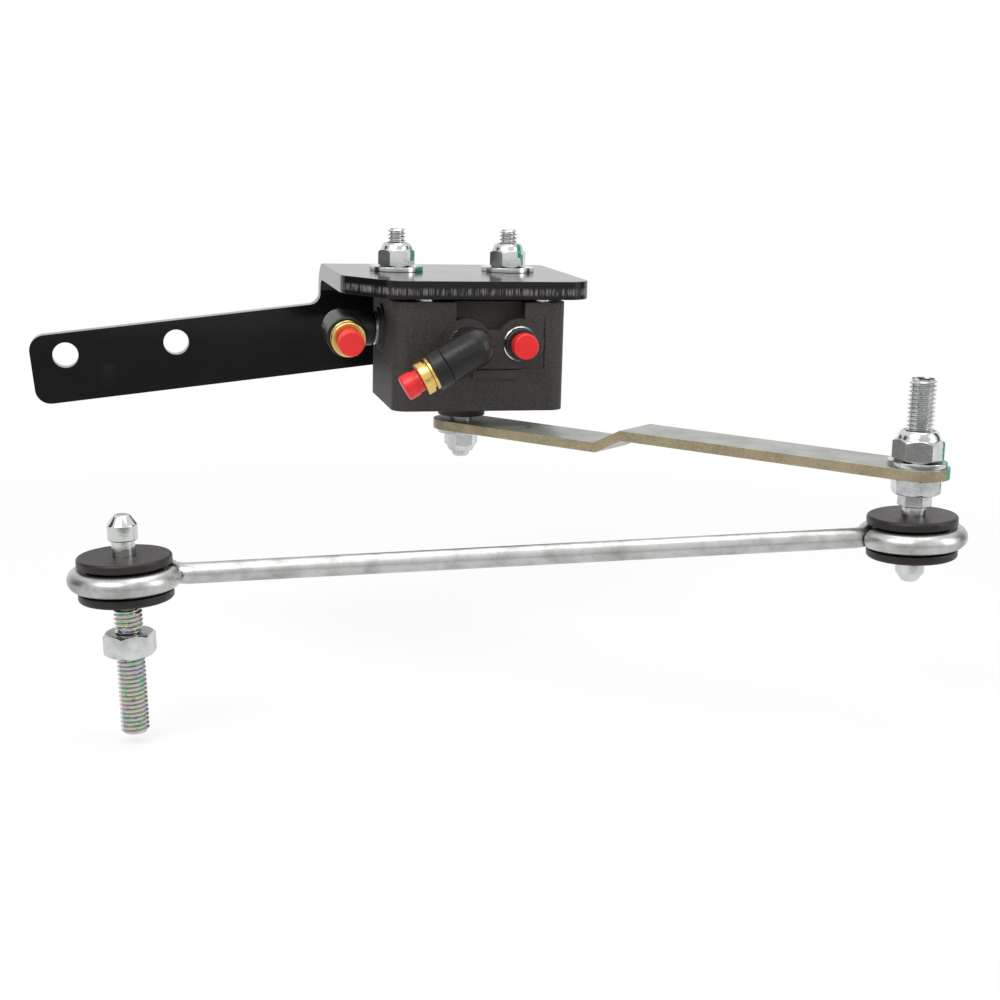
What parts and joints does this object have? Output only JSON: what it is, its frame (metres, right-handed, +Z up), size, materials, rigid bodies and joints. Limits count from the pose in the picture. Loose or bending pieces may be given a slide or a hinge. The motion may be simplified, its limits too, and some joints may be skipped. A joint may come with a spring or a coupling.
{
  "type": "air suspension leveling valve",
  "caption": "Leveling valve on a bent steel bracket: a moulded air valve with push-in ports, and a stepped lever whose stud carries a rubber-bushed link rod.",
  "frame": {"origin": "midpoint between the two arm holes, on the back face of the bracket's arm", "axes": "+Y through the arm holes, away from the valve and out of the bracket's back; +Z up, along the valve's shaft; +X to the right along the bracket's flange, from the arm towards the valve"},
  "size_m": [0.2707, 0.1989, 0.1346],
  "materials": {
    "bracket_black": "gloss black coat",
    "zinc_steel": "bright zinc",
    "lever_zinc": "dull olive-grey zinc",
    "valve_plastic": "fine grained moulding",
    "steel": "plain",
    "nylon": "plain",
    "bronze": "sintered",
    "ceramic": "ground flat",
    "rubber": "matte",
    "elbow_black": "satin moulding",
    "brass_ring": "bright",
    "collet_black": "satin",
    "red_plastic": "satin moulding"
  },
  "bodies": {
    "valve": {"mounting_bracket": "bracket_black", "body_bolts": "zinc_steel", "bolt_sleeves": "steel", "bolt_washers": "zinc_steel", "bolt_locknuts": "zinc_steel", "bolt_nylon_rings": "nylon", "valve_body": "valve_plastic", "lower_housing": "valve_plastic", "housing_screws": "steel", "housing_seal": "rubber", "port_plate": "ceramic", "shaft_bush": "bronze", "shaft_seal": "rubber", "exhaust_screen": "bronze", "right_port_insert": "steel", "front_elbow_insert": "steel", "side_elbow_insert": "steel", "right_port_seal": "rubber"},
    "lever": {"valve_shaft": "steel", "rotor_disc": "nylon", "rotor_spring": "steel", "control_lever": "lever_zinc", "lever_washer": "zinc_steel", "lever_locknut": "zinc_steel", "lever_nylon_ring": "nylon", "lever_stud": "zinc_steel", "stud_washer": "zinc_steel", "stud_locknut": "zinc_steel", "stud_nylon_ring": "nylon", "stud_jam_nut": "zinc_steel"},
    "link": {"link_rod": "zinc_steel", "lever_bushing": "rubber", "axle_bushing": "rubber"},
    "axle_end": {"axle_stud": "zinc_steel", "axle_nut": "zinc_steel"},
    "front_fitting": {"front_elbow": "elbow_black", "front_elbow_cartridge": "brass_ring", "front_elbow_stem_seal": "rubber", "front_elbow_tube_seal": "rubber"},
    "front_release": {"front_elbow_collet": "collet_black"},
    "front_stopper": {"front_elbow_plug": "red_plastic"},
    "side_fitting": {"side_elbow": "elbow_black", "side_elbow_cartridge": "brass_ring", "side_elbow_stem_seal": "rubber", "side_elbow_tube_seal": "rubber"},
    "side_release": {"side_elbow_collet": "collet_black"},
    "side_stopper": {"side_elbow_plug": "red_plastic"},
    "right_release": {"right_port_collet": "collet_black"},
    "right_stopper": {"right_port_plug": "red_plastic"}
  },
  "joints": [
    {"name": "lever_turn", "type": "hinge", "parent": "valve", "child": "lever", "pos_m": [0.1131, -0.0592, -0.0139], "axis": [0, 0, 1], "range_deg": [-45, 45]},
    {"name": "link_swing", "type": "hinge", "parent": "lever", "child": "link", "pos_m": [0.22291, -0.18289, -0.0334], "axis": [0, 0, 1], "continuous": true},
    {"name": "axle_stud_turn", "type": "hinge", "parent": "link", "child": "axle_end", "pos_m": [-0.00271, -0.16235, -0.04389], "axis": [-0.046, 0.0042, 0.9989], "continuous": true},
    {"name": "front_elbow_swivel", "type": "hinge", "parent": "valve", "child": "front_fitting", "pos_m": [0.1101, -0.0925, 0.0106], "axis": [0, -1, 0], "range_deg": [-150, 60]},
    {"name": "front_collet_push", "type": "slide", "parent": "front_fitting", "child": "front_release", "axis": [0.8686, 0, 0.4955], "range_m": [0, 0.0007]},
    {"name": "front_plug_pull", "type": "slide", "parent": "front_fitting", "child": "front_stopper", "axis": [-0.8686, 0, -0.4955], "range_m": [0, 0.013]},
    {"name": "side_elbow_swivel", "type": "hinge", "parent": "valve", "child": "side_fitting", "pos_m": [0.0721, -0.0532, 0.0129], "axis": [-1, 0, 0], "range_deg": [-100, 20]},
    {"name": "side_collet_push", "type": "slide", "parent": "side_fitting", "child": "side_release", "axis": [0, 0.9954, 0.0958], "range_m": [0, 0.0007]},
    {"name": "side_plug_pull", "type": "slide", "parent": "side_fitting", "child": "side_stopper", "axis": [0, -0.9954, -0.0958], "range_m": [0, 0.013]},
    {"name": "right_collet_push", "type": "slide", "parent": "valve", "child": "right_release", "axis": [0, 1, 0], "range_m": [0, 0.0007]},
    {"name": "right_plug_pull", "type": "slide", "parent": "valve", "child": "right_stopper", "axis": [0, -1, 0], "range_m": [0, 0.0065]}
  ]
}
